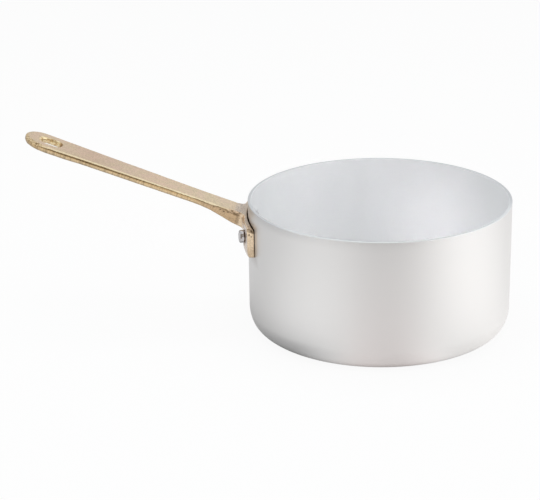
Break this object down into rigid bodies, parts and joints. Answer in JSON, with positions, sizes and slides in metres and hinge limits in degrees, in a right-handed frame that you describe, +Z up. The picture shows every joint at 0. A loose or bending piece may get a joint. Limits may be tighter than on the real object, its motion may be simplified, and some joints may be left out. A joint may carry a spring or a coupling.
{
  "type": "saucepan",
  "caption": "Straight-sided saucepan of satin aluminium with a riveted, sand-cast brass handle that slopes up to a rounded end with a hanging slot.",
  "frame": {"origin": "centre of the pan's flat base, on the surface it stands on", "axes": "+Z up along the pan's axis; the handle reaches out along -X; +Y is the side away from the picture's camera"},
  "size_m": [0.2948, 0.16, 0.1204],
  "materials": {
    "pan_aluminium": "satin, finely turned",
    "cast_brass": "matte sand-cast top and sides, edges linished brighter",
    "rivet_aluminium": "upset heads, dull with light hammer marks"
  },
  "bodies": {
    "root": {"pan_body": "pan_aluminium", "handle": "cast_brass", "rivet_front": "rivet_aluminium", "rivet_back": "rivet_aluminium"}
  },
  "joints": []
}
